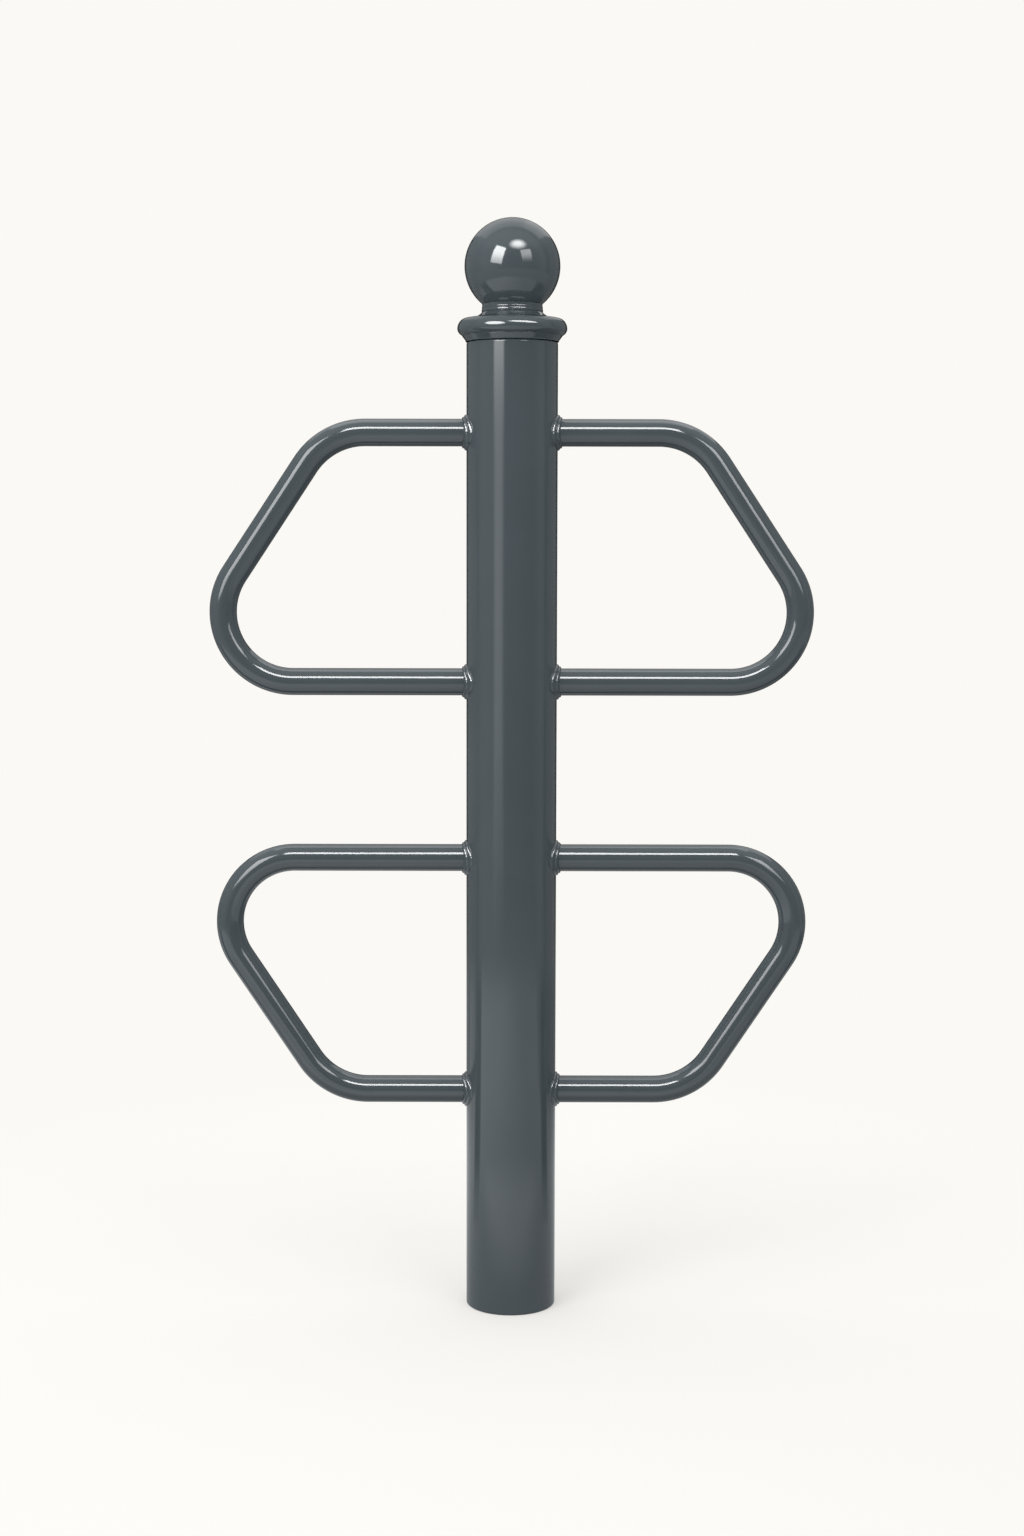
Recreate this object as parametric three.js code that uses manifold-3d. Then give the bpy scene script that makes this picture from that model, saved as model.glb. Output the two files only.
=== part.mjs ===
// Two tier bicycle rack: a steel post with a ball finial and four locking loops welded to its sides.
// Millimetres, +Z up. The origin is on the ground at the post's axis, and the loops reach out along X.

import * as THREE from 'three';
import { mergeVertices, toCreasedNormals } from 'three/addons/utils/BufferGeometryUtils.js';
import Module from 'manifold-3d';

const wasm = await Module();
wasm.setup();

// Post: 3 inch steel pipe, with a vent hole in its wall behind each rail
const postDiameter = 88.9;
const postWall = 5.5;
const postHeight = 957;
const ventDiameter = 10;

// Loops: 3/4 inch steel pipe, bent twice between a short rail and a long rail
const railDiameter = 26.7;
const railWall = 2.9;
const legSlope = THREE.MathUtils.degToRad(56.5);
const narrowBendRadius = 70;

// Rails, stepped down the post from its end: the upper tier's long rail is its lower one,
// and the lower tier's long rail is its upper one
const upperShortRailDrop = 87;
const upperRailSpacing = 243;
const tierSpacing = 174.5;
const lowerRailSpacing = 233.5;

// Reach of each tier from the post's axis, and its wide bend
const upperReach = 296.5;
const upperWideBendRadius = 68;
const lowerReach = 292.5;
const lowerWideBendRadius = 64.5;

// Fillet welds round the rails' ends
const weldLegOnPost = 4;
const weldLegOnRail = 4.5;
const weldCrownShare = 0.12;

// Cap collar, in heights above the post's end
const footLipDiameter = 90.7;
const footLipHeight = 0.9;
const creaseDiameter = 96.9;
const beadDiameter = 106.7;
const beadSectionRadius = 8.6;
const beadHeight = 13.6;
const neckFootHeight = 32.2;
const neckFootDiameter = 60.2;
const neckTopHeight = 36;
const neckTopDiameter = 58.9;
const collarWall = 6.5;
const collarFloor = 8;

// Spigot of the collar in the post's bore
const spigotDepth = 38;
const spigotWall = 5;
const spigotChamfer = 2;
const spigotClearance = 0.4;

// Finial ball: a hollow casting with a boss for the stud
const ballDiameter = 92.8;
const ballWall = 6;
const bossDiameter = 26;
const bossHeight = 18;

// Stud, washer and nut that hold the ball on the collar
const studDiameter = 12;
const studChamfer = 1.2;
const studEngagement = 20;
const studTail = 4;
const washerDiameter = 24;
const washerThickness = 2.5;
const nutAcrossFlats = 18;
const nutHeight = 10.8;

// Clearances
const fitGap = 0.3;
const holeClearance = 0.5;
const cutOverrun = 5;

// Facets
const postFacets = 72;
const ventFacets = 12;
const railFacets = 24;
const railBoreFacets = 12;
const facetsPerBendTurn = 36;
const collarFacets = 48;
const beadLowerSteps = 4;
const beadUpperSteps = 5;
const flareSteps = 6;
const ballFacets = 40;
const ballLowerSteps = 6;
const ballUpperSteps = 10;
const ballCoreSteps = 10;
const hardwareFacets = 24;
const weldFacets = 24;
const weldFaceSteps = 3;
const smoothAngle = THREE.MathUtils.degToRad(35);

const postRadius = postDiameter / 2;
const postBoreRadius = postRadius - postWall;
const railRadius = railDiameter / 2;
const railBoreRadius = railRadius - railWall;
const studHoleRadius = studDiameter / 2 + holeClearance;
const upperShortRailHeight = postHeight - upperShortRailDrop;
const upperLongRailHeight = upperShortRailHeight - upperRailSpacing;
const lowerLongRailHeight = upperLongRailHeight - tierSpacing;
const lowerShortRailHeight = lowerLongRailHeight - lowerRailSpacing;

// Materials: one gloss slate powder coat on all that shows, zinc plate on the hidden hardware
const coatLook = { color: 0x3f484e, roughness: 0.28, metalness: 0.1 };
const zincLook = { color: 0xb9bcbb, roughness: 0.4, metalness: 0.9 };

// Turns a closed geometry into a solid that can be cut
function solidOf( geometry ) {

	const bare = geometry.clone();
	bare.deleteAttribute( 'normal' );
	bare.deleteAttribute( 'uv' );
	const merged = mergeVertices( bare );
	const mesh = new wasm.Mesh( {
		numProp: 3,
		vertProperties: new Float32Array( merged.attributes.position.array ),
		triVerts: new Uint32Array( merged.index.array ),
	} );
	return new wasm.Manifold( mesh );

}

// Turns a cut solid back into a geometry
function geometryOf( solid ) {

	const { vertProperties, triVerts } = solid.getMesh();
	const geometry = new THREE.BufferGeometry();
	geometry.setAttribute( 'position', new THREE.BufferAttribute( vertProperties, 3 ) );
	geometry.setIndex( new THREE.BufferAttribute( triVerts, 1 ) );
	return geometry;

}

// Cuts the tools out of a blank
function cut( blank, ...tools ) {

	const rest = tools.reduce( ( solid, tool ) => solid.subtract( solidOf( tool ) ), solidOf( blank ) );
	return geometryOf( rest );

}

// A part of the rack: a named mesh with a material of its own
function part( name, geometry, look ) {

	const material = new THREE.MeshStandardMaterial( look );
	const mesh = new THREE.Mesh( toCreasedNormals( geometry, smoothAngle ), material );
	mesh.name = name;
	return mesh;

}

// A body of revolution about Z from points of radius and height
function turned( points, facets ) {

	return new THREE.LatheGeometry( points, facets ).rotateX( Math.PI / 2 );

}

// A closed ring of a lathe profile ends where it starts
function closed( points ) {

	return [ ...points, points[ 0 ].clone() ];

}

// Points along an elliptical arc of a profile
function arc( centre, radii, from, to, steps ) {

	return Array.from( { length: steps + 1 }, ( _, i ) => {

		const angle = THREE.MathUtils.lerp( from, to, i / steps );
		return new THREE.Vector2( Math.cos( angle ), Math.sin( angle ) ).multiply( radii ).add( centre );

	} );

}

// Corners of a round section
function circle( radius, facets ) {

	const radii = new THREE.Vector2( radius, radius );
	return arc( new THREE.Vector2(), radii, 0, 2 * Math.PI, facets ).slice( 0, facets );

}

// Both tiers, and both sides of the post
const tiers = [
	{
		name: 'upper',
		shortRail: upperShortRailHeight,
		longRail: upperLongRailHeight,
		reach: upperReach,
		wideBend: upperWideBendRadius,
	},
	{
		name: 'lower',
		shortRail: lowerShortRailHeight,
		longRail: lowerLongRailHeight,
		reach: lowerReach,
		wideBend: lowerWideBendRadius,
	},
];

const sides = [
	{ name: 'left', turn: Math.PI },
	{ name: 'right', turn: 0 },
];

// Post, open at both ends

function makePost() {

	const pipe = turned( closed( [
		new THREE.Vector2( postBoreRadius, 0 ),
		new THREE.Vector2( postRadius, 0 ),
		new THREE.Vector2( postRadius, postHeight ),
		new THREE.Vector2( postBoreRadius, postHeight ),
	] ), postFacets );

	// One drill goes through both walls at each rail's height
	const vents = tiers.flatMap( ( tier ) => [ tier.shortRail, tier.longRail ] ).map( ( height ) => {

		const drill = new THREE.CylinderGeometry(
			ventDiameter / 2, ventDiameter / 2, postDiameter + 2 * cutOverrun, ventFacets,
		);
		return drill.rotateZ( Math.PI / 2 ).translate( 0, 0, height );

	} );

	return part( 'post', cut( pipe, ...vents ), coatLook );

}

// Centreline of a bent pipe: a chain of stations, each with a point and a heading
class BentLine extends THREE.Curve {

	constructor( stations ) {

		super();
		this.stations = stations;

	}

	getPoint( t, target = new THREE.Vector3() ) {

		const place = t * ( this.stations.length - 1 );
		const index = Math.min( Math.floor( place ), this.stations.length - 2 );
		const [ from, to ] = this.stations.slice( index, index + 2 );
		return target.lerpVectors( from.point, to.point, place - index );

	}

	getTangent( t, target = new THREE.Vector3() ) {

		const index = Math.round( t * ( this.stations.length - 1 ) );
		return target.copy( this.stations[ index ].heading );

	}

	// Equal steps of the curve go from station to station
	getUtoTmapping( u ) {

		return u;

	}

}

// Centreline of a loop on the +X side, from the axis out along the short rail, round both bends,
// and back to the axis along the long rail
function loopLine( { shortRail, longRail, reach, wideBend } ) {

	const fall = Math.sign( longRail - shortRail );
	const wideCentre = new THREE.Vector2( reach - railRadius - wideBend, longRail - fall * wideBend );
	const narrowHeight = shortRail + fall * narrowBendRadius;

	// The leg is tangent to both bends
	const run = wideBend - narrowBendRadius + fall * Math.cos( legSlope ) * ( narrowHeight - wideCentre.y );
	const narrowCentre = new THREE.Vector2( wideCentre.x + run / Math.sin( legSlope ), narrowHeight );

	const bend = ( centre, radius, from, to ) => {

		const steps = Math.ceil( facetsPerBendTurn * ( to - from ) / ( 2 * Math.PI ) );
		return Array.from( { length: steps + 1 }, ( _, i ) => {

			const turn = THREE.MathUtils.lerp( from, to, i / steps );
			return {
				point: new THREE.Vector3(
					centre.x + radius * Math.sin( turn ), 0, centre.y - fall * radius * Math.cos( turn ),
				),
				heading: new THREE.Vector3( Math.cos( turn ), 0, fall * Math.sin( turn ) ),
			};

		} );

	};

	return new BentLine( [
		{ point: new THREE.Vector3( 0, 0, shortRail ), heading: new THREE.Vector3( 1, 0, 0 ) },
		...bend( narrowCentre, narrowBendRadius, 0, legSlope ),
		...bend( wideCentre, wideBend, legSlope, Math.PI / 2 ),
		...bend( wideCentre, wideBend, Math.PI / 2, Math.PI ).slice( 1 ),
		{ point: new THREE.Vector3( 0, 0, longRail ), heading: new THREE.Vector3( - 1, 0, 0 ) },
	] );

}

// Loops, coped at both ends to lie against the post

function makeLoop( tier, side ) {

	const section = new THREE.Shape( circle( railRadius, railFacets ) );
	section.holes.push( new THREE.Path( circle( railBoreRadius, railBoreFacets ) ) );
	const line = loopLine( tier );
	const steps = line.stations.length - 1;
	const pipe = new THREE.ExtrudeGeometry( section, { steps, extrudePath: line } );

	const copeRadius = postRadius + fitGap;
	const cope = new THREE.CylinderGeometry( copeRadius, copeRadius, postHeight, postFacets )
		.rotateX( Math.PI / 2 ).translate( 0, 0, postHeight / 2 );

	const loop = part( `${tier.name}_${side.name}_loop`, cut( pipe, cope ), coatLook );
	loop.rotation.z = side.turn;
	return loop;

}

// Fillet weld round a rail that leaves the post along +X at height zero

function weldGeometry() {

	const faceRadius = postRadius + fitGap;
	const rootRadius = railRadius + fitGap;
	const toeRadius = rootRadius + weldLegOnPost;
	const crown = weldCrownShare * Math.min( weldLegOnPost, weldLegOnRail );

	// Section from the root along the rail, over the weld's face and down the post
	const section = ( around ) => {

		const onPost = ( radius ) => Math.sqrt( faceRadius ** 2 - ( radius * Math.cos( around ) ) ** 2 );
		const railToe = new THREE.Vector2( onPost( rootRadius ) + weldLegOnRail, rootRadius );
		const postToe = new THREE.Vector2( onPost( toeRadius ), toeRadius );
		const outwards = new THREE.Vector2( weldLegOnPost, weldLegOnRail ).normalize();
		const face = Array.from( { length: weldFaceSteps + 1 }, ( _, i ) => {

			const bulge = crown * Math.sin( Math.PI * i / weldFaceSteps );
			return railToe.clone().lerp( postToe, i / weldFaceSteps ).addScaledVector( outwards, bulge );

		} );
		return [ new THREE.Vector2( onPost( rootRadius ), rootRadius ), ...face ];

	};

	const positions = [];
	const index = [];
	const count = weldFaceSteps + 2;
	for ( let i = 0; i < weldFacets; i ++ ) {

		const around = 2 * Math.PI * i / weldFacets;
		const next = ( i + 1 ) % weldFacets;
		section( around ).forEach( ( corner, j ) => {

			positions.push( corner.x, corner.y * Math.cos( around ), corner.y * Math.sin( around ) );
			const k = ( j + 1 ) % count;
			index.push( i * count + j, next * count + k, next * count + j );
			index.push( i * count + j, i * count + k, next * count + k );

		} );

	}

	const geometry = new THREE.BufferGeometry();
	geometry.setAttribute( 'position', new THREE.Float32BufferAttribute( positions, 3 ) );
	geometry.setIndex( index );
	return geometry;

}

function makeWelds( tier, side ) {

	const rails = { short: tier.shortRail, long: tier.longRail };
	return Object.entries( rails ).map( ( [ rail, height ] ) => {

		const weld = part( `weld_${tier.name}_${side.name}_${rail}`, weldGeometry(), coatLook );
		weld.position.z = height;
		weld.rotation.z = side.turn;
		return weld;

	} );

}

// Cap collar, in its own frame with height zero at the post's end

function makeCollar() {

	const spigotRadius = postBoreRadius - spigotClearance;
	const coreRadius = spigotRadius - spigotWall;
	const beadCentre = new THREE.Vector2( beadDiameter / 2 - beadSectionRadius, beadHeight );
	const beadRadii = new THREE.Vector2( beadSectionRadius, beadSectionRadius );
	const beadTop = beadHeight + beadSectionRadius;
	const creaseAngle = Math.acos( ( creaseDiameter / 2 - beadCentre.x ) / beadSectionRadius );
	const creaseHeight = beadHeight - beadSectionRadius * Math.sin( creaseAngle );
	const flareCentre = new THREE.Vector2( beadCentre.x, neckFootHeight );
	const flareRadii = new THREE.Vector2( beadCentre.x - neckFootDiameter / 2, neckFootHeight - beadTop );
	const floorHeight = neckTopHeight - collarFloor;
	const neckCoreRadius = neckTopDiameter / 2 - collarWall;

	const profile = [
		new THREE.Vector2( spigotRadius, 0 ),
		new THREE.Vector2( footLipDiameter / 2, 0 ),
		new THREE.Vector2( footLipDiameter / 2, footLipHeight ),
		...arc( beadCentre, beadRadii, - creaseAngle, 0, beadLowerSteps ),
		...arc( beadCentre, beadRadii, 0, Math.PI / 2, beadUpperSteps ).slice( 1 ),
		...arc( flareCentre, flareRadii, - Math.PI / 2, - Math.PI, flareSteps ).slice( 1 ),
		new THREE.Vector2( neckTopDiameter / 2, neckTopHeight ),
		new THREE.Vector2( studHoleRadius, neckTopHeight ),
		new THREE.Vector2( studHoleRadius, floorHeight ),
		new THREE.Vector2( neckCoreRadius, floorHeight ),
		new THREE.Vector2( neckCoreRadius, beadTop ),
		new THREE.Vector2( coreRadius, creaseHeight ),
		new THREE.Vector2( coreRadius, - spigotDepth ),
		new THREE.Vector2( spigotRadius - spigotChamfer, - spigotDepth ),
		new THREE.Vector2( spigotRadius, spigotChamfer - spigotDepth ),
	];

	return part( 'cap_collar', turned( closed( profile ), collarFacets ), coatLook );

}

// Finial ball, hollow, with height zero at its flat seat

function makeBall() {

	const ballRadius = ballDiameter / 2;
	const seatRadius = neckTopDiameter / 2;
	const coreRadius = ballRadius - ballWall;
	const bossRadius = bossDiameter / 2;
	const centre = new THREE.Vector2( 0, Math.sqrt( ballRadius ** 2 - seatRadius ** 2 ) );
	const ballRadii = new THREE.Vector2( ballRadius, ballRadius );
	const coreRadii = new THREE.Vector2( coreRadius, coreRadius );
	const seatAngle = - Math.acos( seatRadius / ballRadius );
	const rootAngle = - Math.acos( bossRadius / coreRadius );

	const profile = [
		...arc( centre, coreRadii, Math.PI / 2, rootAngle, ballCoreSteps ),
		new THREE.Vector2( bossRadius, bossHeight ),
		new THREE.Vector2( studHoleRadius, bossHeight ),
		new THREE.Vector2( studHoleRadius, 0 ),
		...arc( centre, ballRadii, seatAngle, 0, ballLowerSteps ),
		...arc( centre, ballRadii, 0, Math.PI / 2, ballUpperSteps ).slice( 1 ),
	];
	return part( 'finial_ball', turned( profile, ballFacets ), coatLook );

}

// Stud, washer and nut, with height zero at the collar's top

function makeStud() {

	const radius = studDiameter / 2;
	const bottom = - collarFloor - washerThickness - nutHeight - studTail;
	const profile = [
		new THREE.Vector2( 0, bottom ),
		new THREE.Vector2( radius - studChamfer, bottom ),
		new THREE.Vector2( radius, bottom + studChamfer ),
		new THREE.Vector2( radius, studEngagement - studChamfer ),
		new THREE.Vector2( radius - studChamfer, studEngagement ),
		new THREE.Vector2( 0, studEngagement ),
	];
	return part( 'finial_stud', turned( profile, hardwareFacets ), zincLook );

}

function makeWasher() {

	const top = - collarFloor - fitGap;
	const profile = [
		new THREE.Vector2( studHoleRadius, top - washerThickness ),
		new THREE.Vector2( washerDiameter / 2, top - washerThickness ),
		new THREE.Vector2( washerDiameter / 2, top ),
		new THREE.Vector2( studHoleRadius, top ),
	];
	return part( 'finial_washer', turned( closed( profile ), hardwareFacets ), zincLook );

}

function makeNut() {

	const top = - collarFloor - washerThickness - 2 * fitGap;
	const cornerRadius = nutAcrossFlats / Math.sqrt( 3 );
	const hexagon = new THREE.Shape( circle( cornerRadius, 6 ) );
	hexagon.holes.push( new THREE.Path( circle( studDiameter / 2 + fitGap, hardwareFacets ) ) );
	const nut = new THREE.ExtrudeGeometry( hexagon, { depth: nutHeight, bevelEnabled: false } );
	return part( 'finial_nut', nut.translate( 0, 0, top - nutHeight ), zincLook );

}

// The finial is assembled on the collar's top, and the collar on the post's end

const finial = new THREE.Group();
finial.position.z = neckTopHeight;
const ball = makeBall();
ball.position.z = fitGap;
finial.add( ball, makeStud(), makeWasher(), makeNut() );

const cap = new THREE.Group();
cap.position.z = postHeight + fitGap;
cap.add( makeCollar(), finial );

const rack = new THREE.Group();
rack.add( makePost(), cap );
for ( const tier of tiers ) {

	for ( const side of sides ) {

		rack.add( makeLoop( tier, side ), ...makeWelds( tier, side ) );

	}

}

export default rack;
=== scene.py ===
import math
from contextlib import contextmanager
from itertools import pairwise

import bpy
from bpy.props import FloatProperty, FloatVectorProperty, IntProperty, PointerProperty
from bpy.types import Operator, Panel, PropertyGroup
from mathutils import Euler, Matrix, Vector


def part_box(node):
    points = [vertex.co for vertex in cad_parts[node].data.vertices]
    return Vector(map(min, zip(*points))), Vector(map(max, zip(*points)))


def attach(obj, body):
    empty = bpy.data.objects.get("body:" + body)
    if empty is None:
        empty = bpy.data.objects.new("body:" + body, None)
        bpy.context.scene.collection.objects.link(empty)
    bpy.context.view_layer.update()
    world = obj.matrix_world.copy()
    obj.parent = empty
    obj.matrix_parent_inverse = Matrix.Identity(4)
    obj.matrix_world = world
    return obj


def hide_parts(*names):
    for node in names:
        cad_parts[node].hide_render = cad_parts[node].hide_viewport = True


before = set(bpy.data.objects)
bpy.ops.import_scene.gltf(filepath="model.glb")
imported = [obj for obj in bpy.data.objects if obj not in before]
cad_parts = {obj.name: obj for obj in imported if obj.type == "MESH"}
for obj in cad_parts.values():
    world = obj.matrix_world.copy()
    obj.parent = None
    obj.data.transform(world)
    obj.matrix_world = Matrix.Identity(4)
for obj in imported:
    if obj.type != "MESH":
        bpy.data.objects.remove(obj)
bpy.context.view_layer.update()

bl_info = {
    "name": "Two Tier Bike Rack",
    "version": (1, 0, 0),
    "blender": (4, 5, 0),
    "location": "View3D > Sidebar > Bike Rack",
    "description": "Builds a ball capped rack post with its four welded locking loops",
    "category": "Object",
}

# Places and outer sizes come from the solids of the frame
POST_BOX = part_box("post")
COLLAR_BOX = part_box("cap_collar")
BALL_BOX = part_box("finial_ball")
LOOP_BOXES = {tier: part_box(f"{tier}_right_loop") for tier in ("upper", "lower")}

# The right side's pieces are turned by half a turn to make the left side's
SIDES = {"right": 0.0, "left": math.pi}
FULL_TURN = 2 * math.pi

# Points nearer than this are one point, and edges sharper than this stay sharp
MERGE_DISTANCE = 1e-6
SMOOTH_ANGLE = math.radians(32)


# Settings


def length(name, description, metres):
    """A length that a user can change."""
    return FloatProperty(name=name, description=description, default=metres, unit="LENGTH")


def angle(name, description, degrees):
    """An angle that a user can change."""
    turn = math.radians(degrees)
    return FloatProperty(name=name, description=description, default=turn, subtype="ANGLE")


class PostSettings(PropertyGroup):
    """Sizes of the upright pipe"""

    wall: length("Wall", "Thickness of the pipe's wall", 0.0055)
    edge: length("Edge", "Radius of the coated edges at both ends", 0.002)
    vent: length("Vent", "Diameter of the vent hole behind each rail", 0.01)
    facets: IntProperty(name="Facets", description="Faces round the pipe", default=144)


class LoopSettings(PropertyGroup):
    """Sizes of the bent pipe loops"""

    wall: length("Wall", "Thickness of the pipe's wall", 0.0029)
    slope: angle("Slope", "Angle of the leg to the rails", 56.5)
    narrow_bend: length("Narrow bend", "Bend radius at the short rail, on the pipe's centreline", 0.07)
    upper_bend: length("Upper wide bend", "Bend radius at the upper tier's long rail", 0.068)
    lower_bend: length("Lower wide bend", "Bend radius at the lower tier's long rail", 0.0645)
    facets: IntProperty(name="Facets", description="Faces round the pipe", default=56)
    bend_step: angle("Bend step", "Turn of each segment of a bend", 3)


class WeldSettings(PropertyGroup):
    """Sizes of the fillet welds round the rails' ends"""

    leg_on_post: length("Leg on post", "Height of the fillet on the post", 0.004)
    leg_on_rail: length("Leg on rail", "Length of the fillet on the rail", 0.0045)
    crown: length("Crown", "Bulge of each of the fillet's two passes", 0.0007)
    ripple: length("Ripple", "How far each ripple stands out", 0.00005)
    ripples: IntProperty(name="Ripples", description="Ripples in one weld", default=36)
    saddle: FloatProperty(
        name="Saddle", description="How much wider the fillet is on the post's front", default=1.5
    )
    bite: length("Bite", "Depth of the weld in the pipes", 0.0004)


class CapSettings(PropertyGroup):
    """Sizes of the cap: the collar and the ball on it"""

    lip_height: length("Lip height", "Height of the lip on the post's end", 0.0009)
    lip_radius: length("Lip radius", "Radius of the lip on the post's end", 0.04535)
    crease_radius: length("Crease radius", "Radius where the foot meets the bead", 0.04845)
    bead_width: length("Bead width", "How far the bead's round section stands out", 0.0086)
    bead_height: length("Bead height", "Middle of the bead above the collar's foot", 0.0123)
    bead_rise: length("Bead rise", "Height of the bead above its middle", 0.0099)
    bead_fall: length("Bead fall", "Depth of the bead below its middle", 0.00716)
    neck_foot: length("Neck foot", "Radius of the neck above the flare", 0.0296)
    neck_top: length("Neck top", "Radius of the neck under the ball", 0.02945)
    neck_height: length("Neck height", "Height of the neck above the flare", 0.0075)
    neck_groove: length("Neck groove", "Depth of the neck between its fine rings", 0.0004)
    lower_ring: length("Lower ring", "Height of the neck's lower ring above the flare", 0.0011)
    upper_ring: length("Upper ring", "Height of the neck's upper ring above the flare", 0.0041)
    flare_turn: angle("Flare turn", "Angle at which the flare leaves the neck", 25)
    collar_wall: length("Collar wall", "Thickness of the casting's neck", 0.0065)
    collar_floor: length("Collar floor", "Thickness of the floor under the ball", 0.008)
    collar_height: length("Collar height", "Height of the collar above the post", 0.036)
    spigot_wall: length("Spigot wall", "Thickness of the spigot in the post", 0.005)
    spigot_clearance: length("Spigot clearance", "Gap between spigot and bore", 0.0004)
    stud_hole: length("Stud hole", "Radius of the hole for the stud", 0.0065)
    ball_wall: length("Ball wall", "Thickness of the hollow ball", 0.006)
    boss_radius: length("Boss radius", "Radius of the boss in the ball", 0.013)
    boss_height: length("Boss height", "Height of the boss above the ball's seat", 0.018)
    edge: length("Edge", "Radius of the coated edges", 0.0004)
    facets: IntProperty(name="Facets", description="Faces round the cap", default=144)
    arc_step: angle("Arc step", "Turn of each segment of a round profile", 4)


class FinishSettings(PropertyGroup):
    """Colours and surface of the coat and the plating"""

    coat: FloatVectorProperty(
        name="Coat",
        description="Colour of the powder coat",
        default=(0.052, 0.065, 0.072),
        subtype="COLOR",
        min=0,
        max=1,
    )
    roughness: FloatProperty(
        name="Roughness", description="Roughness of the coat", default=0.07, subtype="FACTOR"
    )
    peel_width: length("Peel width", "Width of the orange peel's dimples", 0.0016)
    peel_depth: length("Peel depth", "Depth of the orange peel's dimples", 0.0000008)
    zinc: FloatVectorProperty(
        name="Zinc",
        description="Colour of the plated hardware",
        default=(0.50, 0.51, 0.50),
        subtype="COLOR",
        min=0,
        max=1,
    )


class StageSettings(PropertyGroup):
    """Floor, backdrop, lights and camera"""

    backdrop: FloatVectorProperty(
        name="Backdrop",
        description="Colour of the backdrop and the floor",
        default=(0.961, 0.947, 0.913),
        subtype="COLOR",
        min=0,
        max=1,
    )
    floor_radius: length("Floor radius", "Reach of the floor", 2.1)
    shadow_reach: length("Shadow reach", "Where the floor's shadows have faded into the backdrop", 1.1)
    floor_glow: FloatProperty(
        name="Floor glow",
        description="Share of the floor's light that no shadow takes away",
        default=0.4,
        subtype="FACTOR",
    )
    floor_paint: FloatProperty(
        name="Floor paint", description="Share of the light on the floor that it sends back", default=0.25
    )
    fill: FloatProperty(
        name="Fill", description="Strength of the even light on the coat", default=1.84
    )
    distance: length("Distance", "Camera to the post's axis, along the floor", 2.3)
    eye_height: length("Eye height", "Height of the camera", 0.771)
    pitch: angle("Pitch", "How far the camera looks down", 5.69)
    yaw: angle("Yaw", "How far the camera looks right", 0.013)
    roll: angle("Roll", "Tilt of the camera to the left", 0.113)
    lens: FloatProperty(name="Lens", description="Focal length in millimetres", default=54.84)


SETTINGS = {
    "rack_post": PostSettings,
    "rack_loops": LoopSettings,
    "rack_welds": WeldSettings,
    "rack_cap": CapSettings,
    "rack_finish": FinishSettings,
    "rack_stage": StageSettings,
}


# Modelling helpers


def make_active(piece):
    """Selects one object alone."""
    bpy.ops.object.select_all(action="DESELECT")
    piece.select_set(True)
    bpy.context.view_layer.objects.active = piece


def just_added(name):
    """Names the primitive that was just added and gives it back with its place in its mesh."""
    piece = bpy.context.object
    piece.name = name
    piece.data.name = name
    bpy.ops.object.transform_apply(location=True, rotation=True, scale=True)
    return piece


@contextmanager
def edit_mode(piece):
    """Edit mode on the points of one object."""
    make_active(piece)
    bpy.ops.object.mode_set(mode="EDIT")
    bpy.ops.mesh.select_mode(type="VERT")
    yield
    bpy.ops.object.mode_set(mode="OBJECT")


def close_seams():
    """Merges doubles and turns the faces outwards, in edit mode."""
    bpy.ops.mesh.select_all(action="SELECT")
    bpy.ops.mesh.remove_doubles(threshold=MERGE_DISTANCE)
    bpy.ops.mesh.normals_make_consistent(inside=False)


def apply_modifier(piece, kind, **settings):
    """Adds a modifier and applies it."""
    make_active(piece)
    modifier = piece.modifiers.new(kind.title(), kind)
    for name, value in settings.items():
        setattr(modifier, name, value)
    bpy.ops.object.modifier_apply(modifier=modifier.name)


def cut(piece, tool):
    """Cuts a tool out of a piece and removes the tool."""
    apply_modifier(piece, "BOOLEAN", operation="DIFFERENCE", solver="EXACT", object=tool)
    bpy.data.objects.remove(tool)


def ease_edges(piece, width, sharper_than=SMOOTH_ANGLE):
    """Rounds the sharp edges as the coat does."""
    apply_modifier(
        piece, "BEVEL", width=width, segments=3, limit_method="ANGLE", angle_limit=sharper_than
    )


def smooth(piece):
    """Smooth shading that follows the large faces."""
    make_active(piece)
    bpy.ops.object.shade_smooth_by_angle(angle=SMOOTH_ANGLE)
    apply_modifier(piece, "WEIGHTED_NORMAL", keep_sharp=True)


def draw_outline(name, outline):
    """A chain of edges through points, drawn by extruding one point."""
    bpy.ops.object.select_all(action="DESELECT")
    bpy.ops.mesh.primitive_plane_add(location=outline[0])
    piece = just_added(name)
    with edit_mode(piece):
        bpy.ops.mesh.select_all(action="SELECT")
        bpy.ops.mesh.merge(type="CENTER")
        for here, there in pairwise(outline):
            step = Vector(there) - Vector(here)
            bpy.ops.mesh.extrude_vertices_move(TRANSFORM_OT_translate={"value": step})
    return piece


def spin_round(piece, steps, centre, axis):
    """Spins a drawn outline by a full turn."""
    with edit_mode(piece):
        bpy.ops.mesh.select_all(action="SELECT")
        bpy.ops.mesh.spin(steps=steps, angle=FULL_TURN, center=centre, axis=axis, use_auto_merge=True)
        close_seams()


def turned(name, outline, facets):
    """A turned piece about the post's axis, from points of radius and height."""
    piece = draw_outline(name, [(radius, 0, height) for radius, height in outline])
    spin_round(piece, facets, (0, 0, 0), (0, 0, 1))
    return piece


def arc(centre, radii, start, end, step):
    """Points of radius and height along an elliptical arc."""
    count = math.ceil(abs(end - start) / step)
    turns = [start + (end - start) * i / count for i in range(count + 1)]
    return [
        (centre[0] + radii[0] * math.cos(turn), centre[1] + radii[1] * math.sin(turn)) for turn in turns
    ]


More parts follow.
